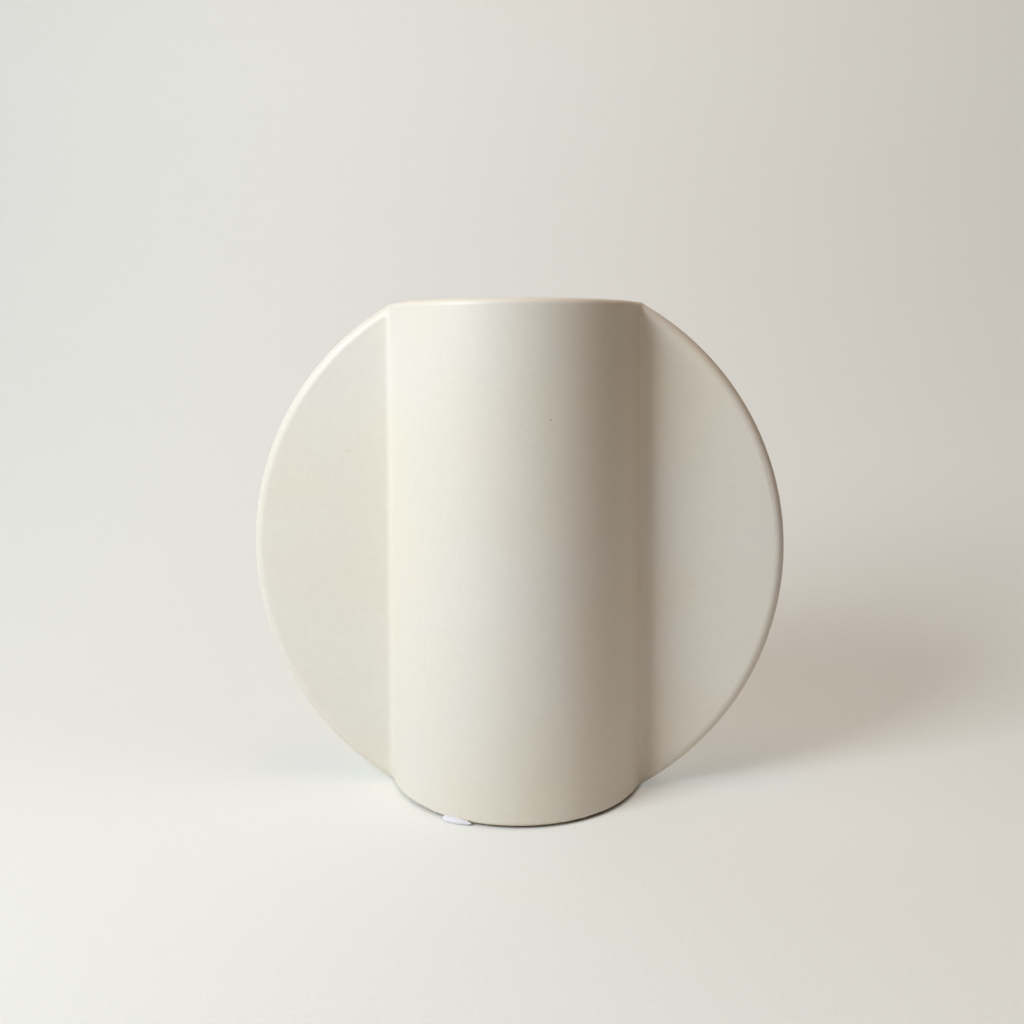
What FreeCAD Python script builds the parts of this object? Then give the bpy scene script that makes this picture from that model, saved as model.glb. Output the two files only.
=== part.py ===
import FreeCAD, Part

import math
import os

from FreeCAD import Vector

# A wall vase cast in one piece of glazed stoneware: a half-round vessel stands in front of a disc that is
# cut flat above and below, so that its two sides show as wings. A ring for the wall hook swings in a strap
# that is screwed into a pocket in the back. Soft feet are stuck under the base and on the back.
# Millimetres. +Z is up, -Y is the front, and the flat back faces +Y.
# The origin is on the surface that the vase stands on, below the middle of its width and depth.

# Disc and wings
wing_reach = 51.5
wing_centre_drop = 0.5
plate_thickness = 14.0
wing_front_round = 4.0
wing_back_round = 2.0
crease_fillet = 3.0

# Vessel
vessel_radius = 48.5
vessel_height = 181.0
vessel_wall = 5.5
vessel_floor = 6.5
rim_outer_round = 2.5
rim_inner_round = 2.0
mouth_corner_round = 6.0
inner_floor_round = 5.0
base_round = 1.5
base_recess_depth = 1.5
base_recess_inset = 14.5
base_recess_corner = 5.0

# Soft feet under the base. One of the front pair is stuck on further out, and has squeezed past the edge.
foot_radius = 6.0
foot_height = 0.8
foot_edge_round = 0.4
foot_edge_margin = 0.8
front_foot_angle = 22.0
rear_foot_inset = 10.5
squeezed_foot_overhang = 0.3
bulge_half_length = 5.5
bulge_half_depth = 1.3
bulge_half_height = 1.1
bulge_centre_height = 0.95
bulge_clearance = 0.15

# Bumpers on the back
bumper_radius = 5.0
bumper_height = 2.0
bumper_edge_round = 1.5
bumper_inset = 28.0
bumper_rise = 38.0

# Pocket in the back for the hanger
pocket_depth = 6.5
pocket_side_margin = 3.0
pocket_hook_room = 5.0
pocket_end_margin = 2.0
pocket_corner = 6.0
pocket_floor_round = 1.0
pocket_mouth_round = 0.8
hinge_drop = 36.0

# Ring and strap
wire_radius = 1.5
ring_inner_width = 18.0
ring_inner_reach = 14.0
ring_corner_radius = 3.0
knuckle_clearance = 0.3
strap_side_gap = 0.5
strap_thickness = 1.2
strap_edge_round = 0.3
upper_screw_drop = 8.5
lower_screw_drop = 22.5

# Screws and the threaded inserts that are bonded into the pocket floor
screw_radius = 2.0
screw_length = 5.0
screw_hole_clearance = 0.25
screw_tip_chamfer = 0.4
head_radius = 3.5
head_height = 1.8
head_round = 0.6
recess_half_width = 0.4
recess_half_length = 1.9
recess_depth = 1.0
insert_radius = 3.0
insert_length = 4.5
insert_thread_clearance = 0.05
insert_bond_gap = 0.1
insert_hole_spare_depth = 0.5
insert_groove_depth = 0.3
insert_groove_width = 0.6
insert_groove_count = 3

# Every cut runs past the face that it opens by this much
overrun = 20.0

# Places that several pieces share
vessel_base = foot_height
vessel_top = vessel_base + vessel_height
back_plane = (vessel_radius - bumper_height) / 2
plate_front = back_plane - plate_thickness
pocket_floor = back_plane - pocket_depth
wing_centre = vessel_base + vessel_height / 2 - wing_centre_drop
hinge_height = vessel_top - hinge_drop
knuckle_inner_radius = wire_radius + knuckle_clearance
knuckle_outer_radius = knuckle_inner_radius + strap_thickness
hinge_y = pocket_floor + knuckle_outer_radius
ring_half_width = ring_inner_width / 2 + wire_radius
ring_reach = ring_inner_reach + wire_radius
strap_half_width = ring_half_width - ring_corner_radius - strap_side_gap

# The edge of each wing is one arc, which leaves the vessel's wall level with the base
wing_half_width = vessel_radius + wing_reach
wing_rise = wing_centre - vessel_base
wing_arc_radius = (wing_reach ** 2 + wing_rise ** 2) / (2 * wing_reach)
disc_tip_rise = wing_rise + vessel_radius * (wing_arc_radius - wing_reach) / wing_rise

screw_drops = (("upper", upper_screw_drop), ("lower", lower_screw_drop))
sides = (("left", -1), ("right", 1))

parts_folder = "parts"


def save(name, shape):
    shape.exportStep(os.path.join(parts_folder, name + ".step"))


def edges_in_plane(shape, axis, place, tolerance_share=1e-6):
    """The edges of a shape that lie wholly in the plane where one coordinate has the given value."""
    size = shape.BoundBox.DiagonalLength * tolerance_share
    found = []
    for edge in shape.Edges:
        box = edge.BoundBox
        low, high = {"y": (box.YMin, box.YMax), "z": (box.ZMin, box.ZMax)}[axis]
        if abs(low - place) < size and abs(high - place) < size:
            found.append(edge)
    return found


def d_outline(radius, flat_y, height):
    """A level half-round face on the vessel's axis, cut flat where y is flat_y."""
    half_chord = math.sqrt(radius ** 2 - (back_plane - flat_y) ** 2)
    start = Vector(-half_chord, flat_y, height)
    end = Vector(half_chord, flat_y, height)
    front = Vector(0, back_plane - radius, height)
    arc = Part.Arc(start, front, end).toShape()
    flat = Part.LineSegment(end, start).toShape()
    return Part.Face(Part.Wire([arc, flat]))


def upright_edges(shape):
    return [edge for edge in shape.Edges
            if edge.BoundBox.ZLength > edge.BoundBox.XLength + edge.BoundBox.YLength]


def d_prism(radius, flat_y, low, high, corner):
    """A half-round column with rounded upright corners."""
    column = d_outline(radius, flat_y, low).extrude(Vector(0, 0, high - low))
    return column.makeFillet(corner, upright_edges(column))


def mouth_edges(shape, axis, place, cutter, tolerance_share=1e-4):
    """The edges that a cut has left in a plane, where it comes out of the shape."""
    box = cutter.BoundBox
    box.enlarge(box.DiagonalLength * tolerance_share)
    return [edge for edge in edges_in_plane(shape, axis, place) if box.isInside(edge.BoundBox)]


def disc():
    """The whole disc behind the vessel, with rounded edges. Its arcs run on straight to a tip above and a
    tip below, inside the vessel's wall, and both tips are cut off later."""

    def at(x, rise):
        return Vector(x, back_plane, wing_centre + rise)

    def line(start, end):
        return Part.LineSegment(start, end).toShape()

    low_tip = at(0, -disc_tip_rise)
    high_tip = at(0, disc_tip_rise)
    low_right = at(vessel_radius, -wing_rise)
    high_right = at(vessel_radius, wing_rise)
    low_left = at(-vessel_radius, -wing_rise)
    high_left = at(-vessel_radius, wing_rise)
    right = Part.Arc(low_right, at(wing_half_width, 0), high_right).toShape()
    left = Part.Arc(high_left, at(-wing_half_width, 0), low_left).toShape()
    outline = [line(low_tip, low_right), right, line(high_right, high_tip),
               line(high_tip, high_left), left, line(low_left, low_tip)]
    slab = Part.Face(Part.Wire(outline)).extrude(Vector(0, -plate_thickness, 0))
    slab = slab.makeFillet(wing_front_round, edges_in_plane(slab, "y", plate_front))
    return slab.makeFillet(wing_back_round, edges_in_plane(slab, "y", back_plane))


def on_vessel(edge, tolerance_share=1e-3):
    """Whether an edge lies on the vessel's round wall, away from the ends of the long column."""
    span = edge.LastParameter - edge.FirstParameter
    for share in (0, 0.25, 0.5, 0.75, 1):
        point = edge.valueAt(edge.FirstParameter + share * span)
        if abs(math.hypot(point.x, point.y - back_plane) / vessel_radius - 1) > tolerance_share:
            return False
        if abs(point.z - wing_centre) > disc_tip_rise:
            return False
    return True


def outer_form():
    """Disc and vessel as one form. The crease between them is filleted first, then both are cut flat."""
    half_height = disc_tip_rise + overrun
    column_base = Vector(0, back_plane, wing_centre - half_height)
    column = Part.makeCylinder(vessel_radius, 2 * half_height, column_base)
    form = disc().fuse(column).removeSplitter()
    form = form.makeFillet(crease_fillet, [edge for edge in form.Edges if on_vessel(edge)])

    reach = wing_half_width + overrun
    depth = vessel_radius + overrun
    corner = Vector(-reach, back_plane - depth, vessel_base)
    envelope = Part.makeBox(2 * reach, depth, vessel_height, corner)
    form = form.common(envelope).removeSplitter().Solids[0]

    def away_from_back(edges):
        return [edge for edge in edges if edge.BoundBox.YMin < back_plane - base_round]

    form = form.makeFillet(rim_outer_round, away_from_back(edges_in_plane(form, "z", vessel_top)))
    form = form.makeFillet(base_round, away_from_back(edges_in_plane(form, "z", vessel_base)))
    form = form.cut(back_edge_waste(vessel_top, 1))
    return form.cut(back_edge_waste(vessel_base, -1)).removeSplitter().Solids[0]


def back_edge_waste(height, upward):
    """What rounding the back's long level edge takes away, at the top or at the base."""
    length = 2 * (wing_half_width + overrun)
    middle = Vector(-length / 2, back_plane - wing_back_round, height - upward * wing_back_round)
    low = middle.z if upward > 0 else middle.z - overrun
    bar = Part.makeBox(length, overrun, overrun, Vector(middle.x, middle.y, low))
    return bar.cut(Part.makeCylinder(wing_back_round, length, middle, Vector(1, 0, 0)))


def pocket_cut():
    """The hanger's pocket: a rounded rectangle sunk into the back, with a rounded floor edge."""
    half_width = ring_half_width + wire_radius + pocket_side_margin
    low = hinge_height - lower_screw_drop - strap_half_width - pocket_end_margin
    high = hinge_height + ring_reach + wire_radius + pocket_hook_room
    corner = Vector(-half_width, pocket_floor, low)
    block = Part.makeBox(2 * half_width, pocket_depth + overrun, high - low, corner)
    deep_edges = [edge for edge in block.Edges
                  if edge.BoundBox.YLength > edge.BoundBox.XLength + edge.BoundBox.ZLength]
    block = block.makeFillet(pocket_corner, deep_edges)
    return block.makeFillet(pocket_floor_round, edges_in_plane(block, "y", pocket_floor))


def insert_hole(drop):
    depth = insert_length + insert_hole_spare_depth
    start = Vector(0, pocket_floor - depth, hinge_height - drop)
    return Part.makeCylinder(insert_radius + insert_bond_gap, depth + overrun, start, Vector(0, 1, 0))


def ceramic_body():
    """The casting: vessel, wings and back in one piece, with the mouth, the base recess and the pocket."""
    inner_radius = vessel_radius - vessel_wall
    body = outer_form()

    floor = vessel_base + vessel_floor
    cavity = d_prism(inner_radius, plate_front, floor, vessel_top + overrun, mouth_corner_round)
    cavity = cavity.makeFillet(inner_floor_round, edges_in_plane(cavity, "z", floor))
    body = body.cut(cavity)
    body = body.makeFillet(rim_inner_round, mouth_edges(body, "z", vessel_top, cavity))

    recess_radius = vessel_radius - base_recess_inset
    recess_back = back_plane - base_recess_inset
    recess_top = vessel_base + base_recess_depth
    recess = d_prism(recess_radius, recess_back, vessel_base - overrun, recess_top, base_recess_corner)
    body = body.cut(recess)

    pocket = pocket_cut()
    body = body.cut(pocket)
    body = body.makeFillet(pocket_mouth_round, mouth_edges(body, "y", back_plane, pocket))
    for _, drop in screw_drops:
        body = body.cut(insert_hole(drop))
    return body.removeSplitter().Solids[0]


def foot_disc(x, y):
    disc_shape = Part.makeCylinder(foot_radius, foot_height, Vector(x, y, 0))
    return disc_shape.makeFillet(foot_edge_round, edges_in_plane(disc_shape, "z", 0))


def front_foot(side, centre_distance):
    turn = math.radians(front_foot_angle)
    x = side * centre_distance * math.sin(turn)
    return foot_disc(x, back_plane - centre_distance * math.cos(turn))


def squeezed_foot(side):
    """A foot stuck on too far out: it has spread past the base edge, and bulges up in front of the wall."""
    foot = front_foot(side, vessel_radius + squeezed_foot_overhang - foot_radius)
    depth_share = bulge_half_depth / bulge_half_length
    height_share = bulge_half_height / bulge_half_length
    scale = FreeCAD.Matrix()
    scale.scale(Vector(1, depth_share, height_share))
    bulge = Part.makeSphere(bulge_half_length).transformGeometry(scale)
    bulge.translate(Vector(0, -vessel_radius, bulge_centre_height))
    bulge.rotate(Vector(0, 0, 0), Vector(0, 0, 1), side * front_foot_angle)
    bulge.translate(Vector(0, back_plane, 0))

    reach = vessel_radius + overrun
    corner = Vector(-reach, back_plane - reach, -overrun)
    ground = Part.makeBox(2 * reach, 2 * reach, overrun, corner)
    wall = Part.makeCylinder(vessel_radius + bulge_clearance, overrun, Vector(0, back_plane, foot_height))
    bulge = bulge.cut(ground).cut(wall)
    return foot.fuse(bulge).removeSplitter().Solids[0]


def base_feet():
    """Four soft feet under the base, one node each. The front left one is the squeezed one."""
    tucked = vessel_radius - base_round - foot_edge_margin - foot_radius
    rear_x = vessel_radius - rear_foot_inset
    rear_y = back_plane - foot_edge_margin - foot_radius
    for name, side in sides:
        front = squeezed_foot(side) if name == "left" else front_foot(side, tucked)
        save("base_foot_front_" + name, front)
        save("base_foot_rear_" + name, foot_disc(side * rear_x, rear_y))


def wall_bumpers():
    """Four domed bumpers on the back of the wings, which keep the glaze off the wall."""
    x = wing_half_width - bumper_inset
    for level, rise in (("upper", bumper_rise), ("lower", -bumper_rise)):
        for name, side in sides:
            start = Vector(side * x, back_plane, wing_centre + rise)
            dome = Part.makeCylinder(bumper_radius, bumper_height, start, Vector(0, 1, 0))
            outer = edges_in_plane(dome, "y", back_plane + bumper_height)
            save("wall_bumper_" + level + "_" + name, dome.makeFillet(bumper_edge_round, outer))


def hanger_ring():
    """The D-shaped ring, hanging down. Its straight bar lies in the strap, and its round end is below."""
    bar_half = ring_half_width - ring_corner_radius
    corner_z = hinge_height - ring_corner_radius
    round_z = hinge_height - ring_reach + ring_half_width
    slant = ring_corner_radius * (1 - math.sqrt(0.5))

    def at(x, z):
        return Vector(x, hinge_y, z)

    path = [Part.LineSegment(at(-bar_half, hinge_height), at(bar_half, hinge_height)).toShape(),
            Part.Arc(at(bar_half, hinge_height), at(ring_half_width - slant, hinge_height - slant),
                     at(ring_half_width, corner_z)).toShape(),
            Part.LineSegment(at(ring_half_width, corner_z), at(ring_half_width, round_z)).toShape(),
            Part.Arc(at(ring_half_width, round_z), at(0, hinge_height - ring_reach),
                     at(-ring_half_width, round_z)).toShape(),
            Part.LineSegment(at(-ring_half_width, round_z), at(-ring_half_width, corner_z)).toShape(),
            Part.Arc(at(-ring_half_width, corner_z), at(slant - ring_half_width, hinge_height - slant),
                     at(-bar_half, hinge_height)).toShape()]
    section = Part.Wire(Part.makeCircle(wire_radius, at(-bar_half, hinge_height), Vector(1, 0, 0)))
    return Part.Wire(path).makePipeShell([section], True, False)


def hanger_strap():
    """A steel strip with a round end, two screw holes and its top curled round the ring's bar."""
    width = 2 * strap_half_width
    outward = Vector(0, 1, 0)
    lower_hole = hinge_height - lower_screw_drop
    corner = Vector(-strap_half_width, pocket_floor, lower_hole)
    strip = Part.makeBox(width, strap_thickness, lower_screw_drop, corner)
    middle = Vector(0, pocket_floor, lower_hole)
    end = Part.makeCylinder(strap_half_width, strap_thickness, middle, outward)
    plate = strip.fuse(end).removeSplitter()
    face_edges = edges_in_plane(plate, "y", pocket_floor + strap_thickness)
    free_edges = [edge for edge in face_edges if edge.BoundBox.ZMin < hinge_height - knuckle_outer_radius]
    plate = plate.makeFillet(strap_edge_round, free_edges)

    start = Vector(-strap_half_width, hinge_y, hinge_height)
    sideways = Vector(1, 0, 0)
    curl = Part.makeCylinder(knuckle_outer_radius, width, start, sideways)
    corner = Vector(-strap_half_width, pocket_floor, hinge_height - knuckle_outer_radius)
    curl = curl.cut(Part.makeBox(width, knuckle_outer_radius, knuckle_outer_radius, corner))
    strap = plate.fuse(curl).cut(Part.makeCylinder(knuckle_inner_radius, width, start, sideways))
    for _, drop in screw_drops:
        centre = Vector(0, pocket_floor - overrun, hinge_height - drop)
        hole_radius = screw_radius + screw_hole_clearance
        strap = strap.cut(Part.makeCylinder(hole_radius, 2 * overrun, centre, outward))
    return strap.removeSplitter().Solids[0]


def hanger_screw(drop):
    """A pan-head machine screw with a cross recess."""
    outward = Vector(0, 1, 0)
    seat = pocket_floor + strap_thickness
    height = hinge_height - drop
    head = Part.makeCylinder(head_radius, head_height, Vector(0, seat, height), outward)
    head = head.makeFillet(head_round, edges_in_plane(head, "y", seat + head_height))
    shank = Part.makeCylinder(screw_radius, screw_length, Vector(0, seat - screw_length, height), outward)
    shank = shank.makeChamfer(screw_tip_chamfer, edges_in_plane(shank, "y", seat - screw_length))
    screw = head.fuse(shank).removeSplitter()
    bars = ((recess_half_length, recess_half_width), (recess_half_width, recess_half_length))
    for half_x, half_z in bars:
        corner = Vector(-half_x, seat + head_height - recess_depth, height - half_z)
        screw = screw.cut(Part.makeBox(2 * half_x, recess_depth + overrun, 2 * half_z, corner))
    return screw


def threaded_insert(drop):
    """A grooved brass bush, bonded into its blind hole level with the pocket floor."""
    inward = Vector(0, -1, 0)
    mouth = Vector(0, pocket_floor, hinge_height - drop)
    bush = Part.makeCylinder(insert_radius, insert_length, mouth, inward)
    bush = bush.cut(Part.makeCylinder(screw_radius + insert_thread_clearance, insert_length, mouth, inward))
    pitch = insert_length / (insert_groove_count + 1)
    for index in range(insert_groove_count):
        middle = pocket_floor - pitch * (index + 1)
        start = Vector(0, middle + insert_groove_width / 2, hinge_height - drop)
        groove = Part.makeCylinder(insert_radius + overrun, insert_groove_width, start, inward)
        core = Part.makeCylinder(insert_radius - insert_groove_depth, insert_groove_width, start, inward)
        bush = bush.cut(groove.cut(core))
    return bush


def hanger():
    """The strap, its ring, and a screw and an insert for each of its two holes."""
    save("hanger_ring", hanger_ring())
    save("hanger_strap", hanger_strap())
    for name, drop in screw_drops:
        save("hanger_screw_" + name, hanger_screw(drop))
        save("threaded_insert_" + name, threaded_insert(drop))


os.makedirs(parts_folder, exist_ok=True)
save("ceramic_body", ceramic_body())
base_feet()
wall_bumpers()
hanger()
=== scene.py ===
import math

import bpy
from mathutils import Matrix, Vector


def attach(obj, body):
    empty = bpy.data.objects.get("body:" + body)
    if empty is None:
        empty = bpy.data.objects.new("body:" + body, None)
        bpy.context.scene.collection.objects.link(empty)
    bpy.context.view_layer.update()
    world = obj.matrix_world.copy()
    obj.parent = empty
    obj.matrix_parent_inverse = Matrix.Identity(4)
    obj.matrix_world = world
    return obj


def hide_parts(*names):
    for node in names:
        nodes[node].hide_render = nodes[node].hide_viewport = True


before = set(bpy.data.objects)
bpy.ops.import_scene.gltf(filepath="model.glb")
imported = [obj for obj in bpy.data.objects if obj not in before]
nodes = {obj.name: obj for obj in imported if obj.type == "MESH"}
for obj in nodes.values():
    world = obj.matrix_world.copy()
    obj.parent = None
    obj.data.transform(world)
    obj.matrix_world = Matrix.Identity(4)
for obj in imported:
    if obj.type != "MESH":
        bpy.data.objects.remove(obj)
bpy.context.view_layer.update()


# The vase itself: a half-round vessel on the front of a disc, cast in one piece of buff stoneware, dipped in
# a satin cream glaze and fired once more. The underside is wiped clean of glaze, so that it doesn't stick to
# the kiln shelf. Its shape is the CAD node's, which stays.
body = nodes["ceramic_body"]
vessel_axis_y = 0.02325
wiped_height = 0.0013
wiped_waviness = 0.0012
base_recess_top = 0.0026
base_recess_radius = 0.0345
glaze_colour = "#ECE5D7"
glaze_warm_colour = "#ECE4D2"
glaze_cool_colour = "#ECE6DA"
speck_colour = "#7B6A57"
beige_fleck_colour = "#E8DDCC"
bisque_colour = "#D6C8B0"
bisque_dark_colour = "#C6B598"
tone_patch = 0.060
mottle_grain = 0.0021
fine_grain = 0.00045
peel_grain = 0.0026
swell_width = 0.018
swell_share = 6.0
glaze_relief = 0.00003
pinhole_spacing = 0.055
pinhole_radius = 0.00028
glaze_index = 1.5
clay_roughness = 0.85
# Two marks in the glaze that can be told one by one: where they are, how wide, and how much wider than high
dark_mark = (0.0146, -0.0230, 0.1402)
dark_mark_radius = 0.00022
dark_mark_widening = 1.2
beige_mark = (-0.0629, 0.00925, 0.1262)
beige_mark_radius = 0.0010
beige_mark_widening = 1.5


def linear(hex_colour):
    """An sRGB colour such as #EBE7DB as the linear values that a shader's socket takes."""
    shares = [int(hex_colour[place:place + 2], 16) / 255 for place in (1, 3, 5)]
    return [s / 12.92 if s <= 0.04045 else ((s + 0.055) / 1.055) ** 2.4 for s in shares] + [1]


def add_node(material, kind, settings=None, links=None):
    """Adds a node to a material. A setting is an input's value or one of the node's own properties.

    Inputs that share a name go by number. A colour mix has its factor at 0, its colours at 6 and 7, and its
    result at output 2. A number mix has its factor at 0, its values at 2 and 3, and its result at output 0.
    """
    node = material.node_tree.nodes.new(kind)
    for name, value in (settings or {}).items():
        if isinstance(name, int) or name in node.inputs:
            node.inputs[name].default_value = value
        else:
            setattr(node, name, value)
    for name, output in (links or {}).items():
        material.node_tree.links.new(output, node.inputs[name])
    return node


def new_material(name):
    """A material with its own shader and nothing else on it."""
    material = bpy.data.materials.new(name)
    material.use_nodes = True
    return material, material.node_tree.nodes["Principled BSDF"]


def feed(material, shader, links):
    """Links outputs to the sockets of a material's shader."""
    for name, output in links.items():
        material.node_tree.links.new(output, shader.inputs[name])


def wear(piece, material):
    """Gives a piece its one material."""
    piece.data.materials.clear()
    piece.data.materials.append(material)


# Satin cream glaze over buff stoneware. A satin glaze scatters most of its shine, so that it shows soft
# gradients and only a faint sheen. Its tone drifts a little over some centimetres, with a fine mottle where
# the crystals in it are denser, a faint orange peel, and a rare iron speck. The wiped base is bare, dull clay.
glaze, shader = new_material("satin_cream_glaze")
place = add_node(glaze, "ShaderNodeTexCoord").outputs["Object"]
place_height = add_node(glaze, "ShaderNodeSeparateXYZ", {}, {"Vector": place}).outputs["Z"]
patches = add_node(glaze, "ShaderNodeTexNoise", {"Scale": 1 / tone_patch, "Detail": 2.0}, {"Vector": place})
warmth = add_node(glaze, "ShaderNodeMapRange", {"From Min": 0.4, "From Max": 0.68},
                  {"Value": patches.outputs["Fac"]})
coolness = add_node(glaze, "ShaderNodeMapRange", {"From Min": 0.5, "From Max": 0.3},
                    {"Value": patches.outputs["Fac"]})
tone = add_node(glaze, "ShaderNodeMix",
                {"data_type": "RGBA", 6: linear(glaze_colour), 7: linear(glaze_warm_colour)},
                {0: warmth.outputs["Result"]}).outputs[2]
tone = add_node(glaze, "ShaderNodeMix", {"data_type": "RGBA", 7: linear(glaze_cool_colour)},
                {0: coolness.outputs["Result"], 6: tone}).outputs[2]
mottle = add_node(glaze, "ShaderNodeTexNoise", {"Scale": 1 / mottle_grain, "Detail": 3.0, "Roughness": 0.6},
                  {"Vector": place})
fine = add_node(glaze, "ShaderNodeTexNoise", {"Scale": 1 / fine_grain, "Detail": 1.0}, {"Vector": place})
grain = add_node(glaze, "ShaderNodeMath", {"operation": "MULTIPLY_ADD", 1: 0.4},
                 {0: fine.outputs["Fac"], 2: mottle.outputs["Fac"]})
light_share = add_node(glaze, "ShaderNodeMapRange",
                       {"From Min": 0.45, "From Max": 0.95, "To Min": 0.975, "To Max": 1.015},
                       {"Value": grain.outputs["Value"]})
tone = add_node(glaze, "ShaderNodeVectorMath", {"operation": "SCALE"},
                {0: tone, "Scale": light_share.outputs["Result"]}).outputs["Vector"]


def mark_mask(centre, radius, wider):
    """1 inside a small round mark and 0 a little outside it. The mark is wider times as wide as high."""
    moved = add_node(glaze, "ShaderNodeVectorMath", {"operation": "SUBTRACT", 1: centre}, {0: place})
    shaped = add_node(glaze, "ShaderNodeVectorMath", {"operation": "MULTIPLY", 1: (1 / wider, 1, 1)},
                      {0: moved.outputs["Vector"]})
    distance = add_node(glaze, "ShaderNodeVectorMath", {"operation": "LENGTH"}, {0: shaped.outputs["Vector"]})
    mask = add_node(glaze, "ShaderNodeMapRange", {"From Min": radius * 1.15, "From Max": radius * 0.6},
                    {"Value": distance.outputs["Value"]})
    return mask.outputs["Result"]


cells = add_node(glaze, "ShaderNodeTexVoronoi", {"Scale": 1 / pinhole_spacing, "Randomness": 1.0},
                 {"Vector": place})
pinholes = add_node(glaze, "ShaderNodeMapRange",
                    {"From Min": 1.2 * pinhole_radius / pinhole_spacing,
                     "From Max": 0.5 * pinhole_radius / pinhole_spacing},
                    {"Value": cells.outputs["Distance"]}).outputs["Result"]
for mask, colour in ((pinholes, speck_colour),
                     (mark_mask(dark_mark, dark_mark_radius, dark_mark_widening), speck_colour),
                     (mark_mask(beige_mark, beige_mark_radius, beige_mark_widening), beige_fleck_colour)):
    tone = add_node(glaze, "ShaderNodeMix", {"data_type": "RGBA", 7: linear(colour)},
                    {0: mask, 6: tone}).outputs[2]

# The bare clay: the foot rim, up to a slightly wavy line, and the recess inside it
from_axis = add_node(glaze, "ShaderNodeVectorMath", {"operation": "SUBTRACT", 1: (0, vessel_axis_y, 0)},
                     {0: place})
level = add_node(glaze, "ShaderNodeVectorMath", {"operation": "MULTIPLY", 1: (1, 1, 0)},
                 {0: from_axis.outputs["Vector"]})
radius = add_node(glaze, "ShaderNodeVectorMath", {"operation": "LENGTH"}, {0: level.outputs["Vector"]})
wobble = add_node(glaze, "ShaderNodeMath",
                  {"operation": "MULTIPLY_ADD", 1: wiped_waviness, 2: -wiped_waviness / 2},
                  {0: mottle.outputs["Fac"]})
height = add_node(glaze, "ShaderNodeMath", {"operation": "ADD"}, {0: place_height, 1: wobble.outputs["Value"]})
on_rim = add_node(glaze, "ShaderNodeMath", {"operation": "LESS_THAN", 1: wiped_height},
                  {0: height.outputs["Value"]})
low = add_node(glaze, "ShaderNodeMath", {"operation": "LESS_THAN", 1: base_recess_top}, {0: place_height})
near = add_node(glaze, "ShaderNodeMath", {"operation": "LESS_THAN", 1: base_recess_radius},
                {0: radius.outputs["Value"]})
in_recess = add_node(glaze, "ShaderNodeMath", {"operation": "MULTIPLY"},
                     {0: low.outputs["Value"], 1: near.outputs["Value"]})
bare = add_node(glaze, "ShaderNodeMath", {"operation": "MAXIMUM"},
                {0: on_rim.outputs["Value"], 1: in_recess.outputs["Value"]}).outputs["Value"]
clay = add_node(glaze, "ShaderNodeMix",
                {"data_type": "RGBA", 6: linear(bisque_colour), 7: linear(bisque_dark_colour)},
                {0: fine.outputs["Fac"]}).outputs[2]
tone = add_node(glaze, "ShaderNodeMix", {"data_type": "RGBA"}, {0: bare, 6: tone, 7: clay}).outputs[2]

dullness = add_node(glaze, "ShaderNodeMapRange",
                    {"From Min": 0.3, "From Max": 0.7, "To Min": 0.40, "To Max": 0.50},
                    {"Value": mottle.outputs["Fac"]}).outputs["Result"]
dullness = add_node(glaze, "ShaderNodeMix", {3: clay_roughness}, {0: bare, 2: dullness}).outputs[0]
peel = add_node(glaze, "ShaderNodeTexNoise", {"Scale": 1 / peel_grain, "Detail": 2.0}, {"Vector": place})
swell = add_node(glaze, "ShaderNodeTexNoise", {"Scale": 1 / swell_width, "Detail": 1.0}, {"Vector": place})
peel_height = add_node(glaze, "ShaderNodeMath", {"operation": "MULTIPLY_ADD", 1: swell_share},
                       {0: swell.outputs["Fac"], 2: peel.outputs["Fac"]}).outputs["Value"]
pitted = add_node(glaze, "ShaderNodeMath", {"operation": "SUBTRACT"}, {0: peel_height, 1: pinholes})
relief = add_node(glaze, "ShaderNodeBump", {"Strength": 0.35, "Distance": glaze_relief},
                  {"Height": pitted.outputs["Value"]})
shader.inputs["IOR"].default_value = glaze_index
feed(glaze, shader, {"Base Color": tone, "Roughness": dullness, "Normal": relief.outputs["Normal"]})
wear(body, glaze)


# Four soft feet stuck under the base: round pads of white silicone, 12 mm across, on a thin layer of glue.
# The weight of the vase has made their sides swell. The front left one was stuck on too far out, and a lump
# of it has squeezed past the base edge and up in front of the wall.
base_height = 0.0008
foot_radius = 0.0060
glue_radius = 0.0057
glue_thickness = 0.00012
foot_place_radius = 0.0402
foot_turn = math.radians(22)
rear_foot_x = 0.038
rear_foot_y = 0.01645
squeezed_place_radius = 0.0428
wall_radius = 0.0485
lump_half_length = 0.0055
lump_half_depth = 0.0013
lump_half_height = 0.0011
lump_centre_height = 0.00095
lump_rings = 32
lump_tail_power = 0.6
lump_blunt_power = 5
lump_extra_depth = 0.25
melt_voxel = 0.00012
melt_passes = 4
flattened_below = 0.00004
sharp_angle = math.radians(50)
merge_distance = 1e-6
silicone_colour = "#F3F2F5"
silicone_shade_colour = "#E6E4EA"
greyer_band_colour = "#CFCBC4"
silicone_cloud = 0.0024
fine_mottle_grain = 0.0005
greyer_band_top = 0.00035
silicone_relief = 0.00002


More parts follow.
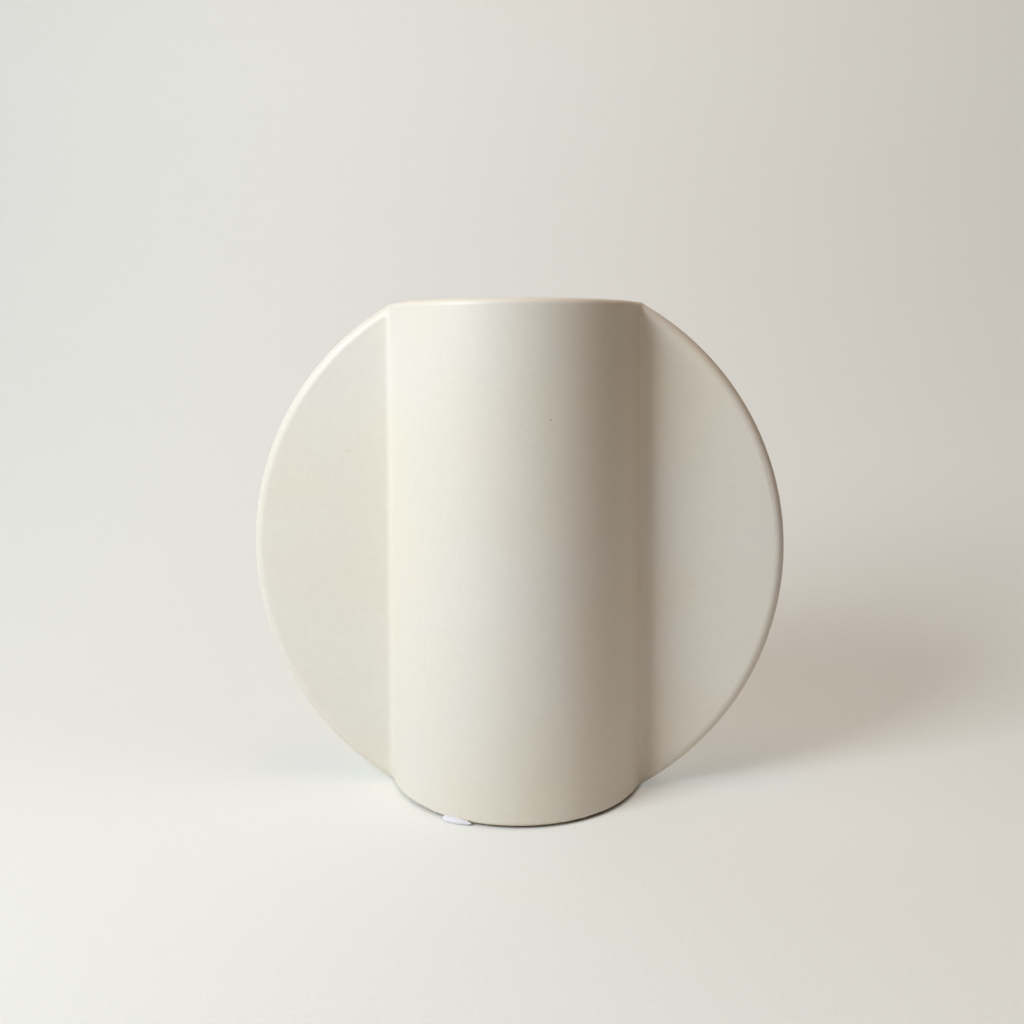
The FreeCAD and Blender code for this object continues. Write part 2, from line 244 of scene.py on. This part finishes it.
def turned_pad(name, centre, away, steps, first_radius, sides=72):
    """A round pad, made as by hand: a disc is extruded along its axis in steps, each with its own radius."""
    bpy.ops.object.select_all(action="DESELECT")
    turn = Vector((0, 0, 1)).rotation_difference(Vector(away)).to_euler()
    bpy.ops.mesh.primitive_circle_add(vertices=sides, radius=first_radius, fill_type="NGON", location=centre,
                                      rotation=turn)
    pad = bpy.context.object
    pad.name = name
    bpy.ops.object.transform_apply(location=True, rotation=True, scale=True)
    bpy.ops.object.mode_set(mode="EDIT")
    bpy.ops.mesh.select_all(action="SELECT")
    radius_now, here = first_radius, Vector(centre)
    for depth, radius in steps:
        move = Vector(away) * depth
        here = here + move
        bpy.ops.mesh.extrude_region_move(TRANSFORM_OT_translate={"value": move})
        share = radius / radius_now
        bpy.ops.transform.resize(value=(share, share, share), center_override=here)
        radius_now = radius
    bpy.ops.mesh.select_all(action="SELECT")
    bpy.ops.mesh.remove_doubles(threshold=merge_distance)
    bpy.ops.mesh.normals_make_consistent(inside=False)
    bpy.ops.object.mode_set(mode="OBJECT")
    bpy.ops.object.shade_smooth_by_angle(angle=sharp_angle)
    return pad


# Each step is how far it goes down, and its radius: the glue, the swollen side, and the slightly dished sole
foot_steps = [(glue_thickness, glue_radius), (0.0, foot_radius - 0.00005), (0.00014, foot_radius + 0.00004),
              (0.00016, foot_radius + 0.00006), (0.00014, foot_radius - 0.00002),
              (0.00011, foot_radius - 0.00015), (0.00008, foot_radius - 0.00032),
              (0.00005, foot_radius - 0.00055), (0.0, foot_radius * 0.8), (-0.00004, foot_radius * 0.5),
              (-0.00003, foot_radius * 0.15)]
foot_places = {"front_right": (foot_place_radius * math.sin(foot_turn),
                               vessel_axis_y - foot_place_radius * math.cos(foot_turn)),
               "rear_left": (-rear_foot_x, rear_foot_y), "rear_right": (rear_foot_x, rear_foot_y),
               "front_left": (-squeezed_place_radius * math.sin(foot_turn),
                              vessel_axis_y - squeezed_place_radius * math.cos(foot_turn))}
feet = {}
for where, (x, y) in foot_places.items():
    feet[where] = turned_pad("soft_foot_" + where, (x, y, base_height), (0, 0, -1), foot_steps, glue_radius)

# The lump: a ball pressed long and flat, ring by ring blunt at its outer end and drawn out to a tail at its
# inner end, then melted into the foot and flattened where it rests on the table
lump_centre = Vector((-wall_radius * math.sin(foot_turn), vessel_axis_y - wall_radius * math.cos(foot_turn),
                      lump_centre_height))
bpy.ops.object.select_all(action="DESELECT")
bpy.ops.mesh.primitive_uv_sphere_add(segments=64, ring_count=lump_rings, radius=lump_half_length,
                                     location=(0, 0, 0), rotation=(0, math.pi / 2, 0))
lump = bpy.context.object
lump.scale = (lump_half_height / lump_half_length, lump_half_depth / lump_half_length, 1)
bpy.ops.object.transform_apply(location=True, rotation=True, scale=True)
for ring in range(1, lump_rings):
    along = math.cos(math.pi * ring / lump_rings)
    if along > 0:
        wanted = (1 - along) ** lump_tail_power
        deeper = 1 + lump_extra_depth * (1 - along) ** 2
    else:
        wanted = (1 - abs(along) ** lump_blunt_power) ** (1 / lump_blunt_power)
        deeper = 1 + lump_extra_depth
    fuller = wanted / math.sin(math.pi * ring / lump_rings)
    bpy.ops.object.mode_set(mode="EDIT")
    bpy.ops.mesh.select_all(action="DESELECT")
    bpy.ops.object.mode_set(mode="OBJECT")
    for vertex in lump.data.vertices:
        vertex.select = abs(vertex.co.x - along * lump_half_length) < merge_distance
    bpy.ops.object.mode_set(mode="EDIT")
    bpy.ops.transform.resize(value=(1, fuller * deeper, fuller),
                             center_override=(along * lump_half_length, 0, 0))
bpy.ops.object.mode_set(mode="OBJECT")
lump.rotation_euler = (0, 0, -foot_turn)
lump.location = lump_centre
bpy.ops.object.transform_apply(location=True, rotation=True, scale=True)
for piece in (lump, feet["front_left"]):
    piece.select_set(True)
bpy.context.view_layer.objects.active = feet["front_left"]
bpy.ops.object.join()
squeezed = bpy.context.object
remesh = squeezed.modifiers.new("melt_together", "REMESH")
remesh.mode = "VOXEL"
remesh.voxel_size = melt_voxel
bpy.ops.object.modifier_apply(modifier=remesh.name)
smooth = squeezed.modifiers.new("soften", "SMOOTH")
smooth.iterations = melt_passes
smooth.factor = 0.5
bpy.ops.object.modifier_apply(modifier=smooth.name)
bpy.ops.object.mode_set(mode="EDIT")
bpy.ops.mesh.select_all(action="DESELECT")
bpy.ops.object.mode_set(mode="OBJECT")
for vertex in squeezed.data.vertices:
    vertex.select = vertex.co.z < flattened_below
bpy.ops.object.mode_set(mode="EDIT")
bpy.ops.transform.resize(value=(1, 1, 0), center_override=(0, 0, 0))
bpy.ops.object.mode_set(mode="OBJECT")
bpy.ops.object.shade_smooth_by_angle(angle=sharp_angle)
feet["front_left"] = squeezed

# Soft white silicone: smooth and a little waxy, so that light blurs inside it, with a dull bloom. In its
# lowest
# 0.35 mm, where it meets the table, it turns greyer in a fine mottle.
silicone, shader = new_material("white_moulded_silicone")
place = add_node(silicone, "ShaderNodeTexCoord").outputs["Object"]
cloud = add_node(silicone, "ShaderNodeTexNoise", {"Scale": 1 / silicone_cloud, "Detail": 2.0},
                 {"Vector": place})
tone = add_node(silicone, "ShaderNodeMix",
                {"data_type": "RGBA", 6: linear(silicone_colour), 7: linear(silicone_shade_colour)},
                {0: cloud.outputs["Fac"]}).outputs[2]
height = add_node(silicone, "ShaderNodeSeparateXYZ", {}, {"Vector": place}).outputs["Z"]
# Greyer in a fine mottle towards the bottom, within 0.35 mm of the table
low = add_node(silicone, "ShaderNodeMapRange", {"From Min": greyer_band_top, "From Max": 0.0}, {"Value": height})
fine_mottle = add_node(silicone, "ShaderNodeTexNoise", {"Scale": 1 / fine_mottle_grain, "Detail": 2.0}, {"Vector": place})
greyer_band = add_node(silicone, "ShaderNodeMath", {"operation": "MULTIPLY"},
                 {0: low.outputs["Result"], 1: fine_mottle.outputs["Fac"]}).outputs["Value"]
tone = add_node(silicone, "ShaderNodeMix", {"data_type": "RGBA", 7: linear(greyer_band_colour)},
                {0: greyer_band, 6: tone}).outputs[2]
dullness = add_node(silicone, "ShaderNodeMapRange", {"To Min": 0.42, "To Max": 0.62},
                    {"Value": cloud.outputs["Fac"]})
relief = add_node(silicone, "ShaderNodeBump", {"Strength": 0.4, "Distance": silicone_relief},
                  {"Height": fine_mottle.outputs["Fac"]})
feed(silicone, shader, {"Base Color": tone, "Roughness": dullness.outputs["Result"],
                        "Normal": relief.outputs["Normal"]})
shader.inputs["IOR"].default_value = 1.41
shader.inputs["Subsurface Weight"].default_value = 0.25
shader.inputs["Subsurface Radius"].default_value = (0.0012, 0.0011, 0.0010)
shader.inputs["Subsurface Scale"].default_value = 1.0
for where, piece in feet.items():
    wear(piece, silicone)
    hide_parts("base_foot_" + where)
    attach(piece, "vase")


# Four clear domed bumpers stuck on the back of the wings, which keep the glaze off the wall. Each is a drop
# of clear polyurethane, 10 mm across and 2 mm high, cast flat on its round of glue.
back_plane = 0.02325
bumper_radius = 0.0050
bumper_glue_radius = bumper_radius - 0.00022
bumper_x = 0.072
bumper_heights = {"upper": 0.1288, "lower": 0.0528}
haze_colour = "#EEECE6"
haze_dull_colour = "#E2E0DA"
scuff_grain = 0.0007
scuff_relief = 0.00001
# Each step is how far it goes out, and how far inside the full radius: the side, and the dome over it
bumper_profile = ((0.00012, 0.00022), (0.0, 0.00004), (0.00040, 0.0), (0.00035, 0.00014), (0.00030, 0.00038),
                  (0.00026, 0.00070), (0.00020, 0.00108), (0.00014, 0.00150), (0.00010, 0.00200),
                  (0.00007, 0.00270), (0.00004, 0.00360), (0.00002, 0.00460))
bumper_steps = [(depth, bumper_radius - inset) for depth, inset in bumper_profile]

# Clear cast polyurethane: glassy but soft, a little grey in its depth, with fine scuffs on its crown that dull
# the shine.
clear, shader = new_material("clear_cast_polyurethane")
place = add_node(clear, "ShaderNodeTexCoord").outputs["Object"]
scuff = add_node(clear, "ShaderNodeTexNoise", {"Scale": 1 / scuff_grain, "Detail": 3.0}, {"Vector": place})
dullness = add_node(clear, "ShaderNodeMapRange",
                    {"From Min": 0.35, "From Max": 0.7, "To Min": 0.10, "To Max": 0.26},
                    {"Value": scuff.outputs["Fac"]})
haze = add_node(clear, "ShaderNodeMix",
                {"data_type": "RGBA", 6: linear(haze_colour), 7: linear(haze_dull_colour)},
                {0: scuff.outputs["Fac"]}).outputs[2]
relief = add_node(clear, "ShaderNodeBump", {"Strength": 0.3, "Distance": scuff_relief},
                  {"Height": scuff.outputs["Fac"]})
feed(clear, shader, {"Base Color": haze, "Roughness": dullness.outputs["Result"],
                     "Normal": relief.outputs["Normal"]})
shader.inputs["IOR"].default_value = 1.49
shader.inputs["Transmission Weight"].default_value = 0.25
for level, z in bumper_heights.items():
    for side, x in (("left", -bumper_x), ("right", bumper_x)):
        where = level + "_" + side
        bumper = turned_pad("clear_bumper_" + where, (x, back_plane, z), (0, 1, 0), bumper_steps,
                            bumper_glue_radius)
        wear(bumper, clear)
        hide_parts("wall_bumper_" + where)
        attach(bumper, "vase")


# The hanger in the pocket of the back: a strap curled round a D-shaped wire ring, and two pan-head screws.
# All are bright zinc-plated steel. Plating is even, with a faint cloudy blue and straw tint, tiny grain, and
# short rubbed streaks where the pieces have tumbled on each other in the plating drum.
zinc_colour = "#C9CBCC"
zinc_blue_colour = "#B9C0C8"
zinc_straw_colour = "#CFC9B6"
plating_cloud = 0.004
plating_grain = 0.00016
plating_relief = 0.00001
streak_length = 0.003
streak_width = 0.00025
streak_turn = (0.4, 0.3, 0.5)
zinc, shader = new_material("bright_zinc_plated_steel")
place = add_node(zinc, "ShaderNodeTexCoord").outputs["Object"]
cloud = add_node(zinc, "ShaderNodeTexNoise", {"Scale": 1 / plating_cloud, "Detail": 2.0}, {"Vector": place})
blue = add_node(zinc, "ShaderNodeMapRange", {"From Min": 0.35, "From Max": 0.6},
                {"Value": cloud.outputs["Fac"]})
tone = add_node(zinc, "ShaderNodeMix",
                {"data_type": "RGBA", 6: linear(zinc_blue_colour), 7: linear(zinc_colour)},
                {0: blue.outputs["Result"]}).outputs[2]
straw = add_node(zinc, "ShaderNodeMapRange", {"From Min": 0.6, "From Max": 0.75},
                 {"Value": cloud.outputs["Fac"]})
tone = add_node(zinc, "ShaderNodeMix", {"data_type": "RGBA", 7: linear(zinc_straw_colour)},
                {0: straw.outputs["Result"], 6: tone}).outputs[2]
stretched = add_node(zinc, "ShaderNodeMapping",
                     {"Scale": (1 / streak_length, 1 / streak_width, 1 / streak_width),
                      "Rotation": streak_turn}, {"Vector": place})
streaks = add_node(zinc, "ShaderNodeTexNoise", {"Scale": 1.0, "Detail": 2.0},
                   {"Vector": stretched.outputs["Vector"]})
grain = add_node(zinc, "ShaderNodeTexNoise", {"Scale": 1 / plating_grain, "Detail": 1.0}, {"Vector": place})
uneven = add_node(zinc, "ShaderNodeMath", {"operation": "MULTIPLY_ADD", 1: 0.5},
                  {0: grain.outputs["Fac"], 2: streaks.outputs["Fac"]}).outputs["Value"]
dullness = add_node(zinc, "ShaderNodeMapRange",
                    {"From Min": 0.5, "From Max": 1.0, "To Min": 0.26, "To Max": 0.44}, {"Value": uneven})
relief = add_node(zinc, "ShaderNodeBump", {"Strength": 0.35, "Distance": plating_relief}, {"Height": uneven})
feed(zinc, shader, {"Base Color": tone, "Roughness": dullness.outputs["Result"],
                    "Normal": relief.outputs["Normal"]})
shader.inputs["Metallic"].default_value = 1
for name in ("hanger_strap", "hanger_ring", "hanger_screw_upper", "hanger_screw_lower"):
    wear(nodes[name], zinc)


# Two brass inserts, bonded into blind holes in the clay behind the strap. They are turned on a lathe, so their
# faces and walls carry fine rings round the hole.
brass_colour = "#C9A55A"
brass_worn_colour = "#B08A45"
brass_cloud = 0.002
turning_pitch = 0.00018
turning_relief = 0.00001
brass, shader = new_material("turned_free_cutting_brass")
place = add_node(brass, "ShaderNodeTexCoord").outputs["Object"]
cloud = add_node(brass, "ShaderNodeTexNoise", {"Scale": 1 / brass_cloud, "Detail": 2.0}, {"Vector": place})
tone = add_node(brass, "ShaderNodeMix",
                {"data_type": "RGBA", 6: linear(brass_colour), 7: linear(brass_worn_colour)},
                {0: cloud.outputs["Fac"]}).outputs[2]
depth = add_node(brass, "ShaderNodeSeparateXYZ", {}, {"Vector": place}).outputs["Y"]
rings = add_node(brass, "ShaderNodeMath", {"operation": "MULTIPLY", 1: 2 * math.pi / turning_pitch},
                 {0: depth})
rings = add_node(brass, "ShaderNodeMath", {"operation": "SINE"}, {0: rings.outputs["Value"]})
relief = add_node(brass, "ShaderNodeBump", {"Strength": 0.4, "Distance": turning_relief},
                  {"Height": rings.outputs["Value"]})
dullness = add_node(brass, "ShaderNodeMapRange", {"To Min": 0.22, "To Max": 0.38},
                    {"Value": cloud.outputs["Fac"]})
feed(brass, shader, {"Base Color": tone, "Roughness": dullness.outputs["Result"],
                     "Normal": relief.outputs["Normal"]})
shader.inputs["Metallic"].default_value = 1
for name in ("threaded_insert_upper", "threaded_insert_lower"):
    wear(nodes[name], brass)


# The floor and the backdrop: one sheet of pale paper that lies under the vase and curves up behind it.
sweep_half_width = 1.6
sweep_front = -1.2
sweep_back = 0.46
sweep_bend = 0.40
sweep_bend_steps = 24
sweep_height = 1.6
sweep_merge_distance = 1e-5
paper_colour = "#F5F7F2"
paper_fibre_colour = "#ECEAE6"
paper_fibre = 0.0012
paper_relief = 0.00004
shaded_radius = 0.0485
backdrop_share = 0.28
backdrop_colour = "#FEFFF7"
bpy.ops.object.select_all(action="DESELECT")
sweep_length = sweep_back - sweep_bend - sweep_front
bpy.ops.mesh.primitive_plane_add(size=1, location=(0, sweep_front + sweep_length / 2, 0))
sweep = bpy.context.object
sweep.name = "paper_sweep"
sweep.scale = (2 * sweep_half_width, sweep_length, 1)
bpy.ops.object.transform_apply(location=True, rotation=True, scale=True)
bpy.ops.object.mode_set(mode="EDIT")
bpy.ops.mesh.select_mode(type="EDGE")
bpy.ops.mesh.select_all(action="DESELECT")
bpy.ops.object.mode_set(mode="OBJECT")
for edge in sweep.data.edges:
    ends = [sweep.data.vertices[end].co.y for end in edge.vertices]
    edge.select = min(ends) > sweep_back - sweep_bend - sweep_merge_distance
bpy.ops.object.mode_set(mode="EDIT")
bpy.ops.mesh.spin(steps=sweep_bend_steps, angle=-math.pi / 2, center=(0, sweep_back - sweep_bend, sweep_bend),
                  axis=(1, 0, 0))
bpy.ops.mesh.extrude_region_move(TRANSFORM_OT_translate={"value": (0, 0, sweep_height - sweep_bend)})
bpy.ops.mesh.select_all(action="SELECT")
bpy.ops.mesh.remove_doubles(threshold=sweep_merge_distance)
bpy.ops.mesh.normals_make_consistent(inside=False)
bpy.ops.object.mode_set(mode="OBJECT")
bpy.ops.object.shade_smooth()

# Matt white paper: even and soft, with the faint tooth of its fibres. The camera sees it a little brighter
# than the room light makes it, as a white background, and it keeps the vase's shadow. Right under the vase it
# has its own light alone, so that the thin gap over the feet stays dark.
paper, shader = new_material("matt_white_paper")
place = add_node(paper, "ShaderNodeTexCoord").outputs["Object"]
fibre = add_node(paper, "ShaderNodeTexNoise", {"Scale": 1 / paper_fibre, "Detail": 3.0}, {"Vector": place})
tone = add_node(paper, "ShaderNodeMix",
                {"data_type": "RGBA", 6: linear(paper_colour), 7: linear(paper_fibre_colour)},
                {0: fibre.outputs["Fac"]}).outputs[2]
relief = add_node(paper, "ShaderNodeBump", {"Strength": 0.2, "Distance": paper_relief},
                  {"Height": fibre.outputs["Fac"]})
feed(paper, shader, {"Base Color": tone, "Normal": relief.outputs["Normal"]})
shader.inputs["Roughness"].default_value = 0.9
shader.inputs["Specular IOR Level"].default_value = 0.2
white = add_node(paper, "ShaderNodeEmission", {"Color": linear(backdrop_colour), "Strength": 1.0})
ray = add_node(paper, "ShaderNodeLightPath").outputs
seen = add_node(paper, "ShaderNodeMath", {"operation": "MAXIMUM"},
                {0: ray["Is Camera Ray"], 1: ray["Is Glossy Ray"]})
seen = add_node(paper, "ShaderNodeMath", {"operation": "MAXIMUM"},
                {0: seen.outputs["Value"], 1: ray["Is Transmission Ray"]})
from_axis = add_node(paper, "ShaderNodeVectorMath", {"operation": "SUBTRACT", 1: (0, vessel_axis_y, 0)},
                     {0: place}).outputs["Vector"]
ahead = add_node(paper, "ShaderNodeSeparateXYZ", {}, {"Vector": from_axis}).outputs["Y"]
distance = add_node(paper, "ShaderNodeVectorMath", {"operation": "LENGTH"}, {0: from_axis})
outside = add_node(paper, "ShaderNodeMapRange",
                   {"From Min": shaded_radius - 0.0012, "From Max": shaded_radius + 0.0008},
                   {"Value": distance.outputs["Value"]})
behind = add_node(paper, "ShaderNodeMath", {"operation": "GREATER_THAN", 1: 0.0}, {0: ahead})
open_paper = add_node(paper, "ShaderNodeMath", {"operation": "MAXIMUM"},
                      {0: outside.outputs["Result"], 1: behind.outputs["Value"]})
share = add_node(paper, "ShaderNodeMath", {"operation": "MULTIPLY", 1: backdrop_share},
                 {0: seen.outputs["Value"]})
share = add_node(paper, "ShaderNodeMath", {"operation": "MULTIPLY"},
                 {0: share.outputs["Value"], 1: open_paper.outputs["Value"]})
mixed = add_node(paper, "ShaderNodeMixShader", {},
                 {0: share.outputs["Value"], 1: shader.outputs["BSDF"], 2: white.outputs["Emission"]})
feed(paper, paper.node_tree.nodes["Material Output"], {"Surface": mixed.outputs["Shader"]})
wear(sweep, paper)


# Light: a cool soft window to the left, in front and above, a warm ceiling, and the warm light that a wall on
# the right throws back. The room itself gives no light, but the camera and shiny surfaces see it as pale.
vase_middle = (0, 0, 0.09)
room_colour = "#E6E4DE"
room_strength = 0.6


def soft_lamp(name, place, width, height, watts, colour):
    """A rectangular lamp, with its sizes in metres, that looks at the middle of the vase."""
    lamp = bpy.data.lights.new(name, "AREA")
    lamp.shape = "RECTANGLE"
    lamp.size = width
    lamp.size_y = height
    lamp.energy = watts
    lamp.color = linear(colour)[:3]
    holder = bpy.data.objects.new(name, lamp)
    bpy.context.scene.collection.objects.link(holder)
    holder.location = place
    holder.rotation_euler = (Vector(vase_middle) - Vector(place)).to_track_quat("-Z", "Y").to_euler()


soft_lamp("window", (-0.534, -0.472, 0.553), 0.34, 0.42, 6.70, "#ECF6FF")
soft_lamp("ceiling", (0.0, -0.08, 0.99), 0.5, 0.5, 1.95, "#FFCC9E")
soft_lamp("warm_wall", (0.84, -0.49, 0.14), 0.56, 0.21, 0.36, "#FFD3BC")
world = bpy.data.worlds.new("pale_room")
bpy.context.scene.world = world
world.use_nodes = True
background = world.node_tree.nodes["Background"]
background.inputs["Color"].default_value = linear(room_colour)
ray = add_node(world, "ShaderNodeLightPath").outputs
seen = add_node(world, "ShaderNodeMath", {"operation": "MAXIMUM"},
                {0: ray["Is Camera Ray"], 1: ray["Is Glossy Ray"]})
seen = add_node(world, "ShaderNodeMath", {"operation": "MAXIMUM"},
                {0: seen.outputs["Value"], 1: ray["Is Transmission Ray"]})
strength = add_node(world, "ShaderNodeMath", {"operation": "MULTIPLY", 1: room_strength},
                    {0: seen.outputs["Value"]})
feed(world, background, {"Strength": strength.outputs["Value"]})

# The camera stands close, a little to the right and a little below the rim, and looks almost level.
camera_place = Vector((0.02289, -0.34845, 0.16294))
camera_heading = math.radians(3.776)
camera_tilt = math.radians(-1.856)
camera_roll = math.radians(-0.223)
camera_lens = 33.837
camera_shift_down = 0.1248
camera = bpy.data.objects.new("camera", bpy.data.cameras.new("camera"))
bpy.context.scene.collection.objects.link(camera)
camera.matrix_world = (Matrix.Translation(camera_place) @ Matrix.Rotation(camera_heading, 4, "Z")
                       @ Matrix.Rotation(math.pi / 2 + camera_tilt, 4, "X")
                       @ Matrix.Rotation(camera_roll, 4, "Z"))
camera.data.lens = camera_lens
camera.data.shift_y = -camera_shift_down
camera.data.clip_start = 0.01
bpy.context.scene.camera = camera
bpy.context.scene.view_settings.view_transform = "Standard"
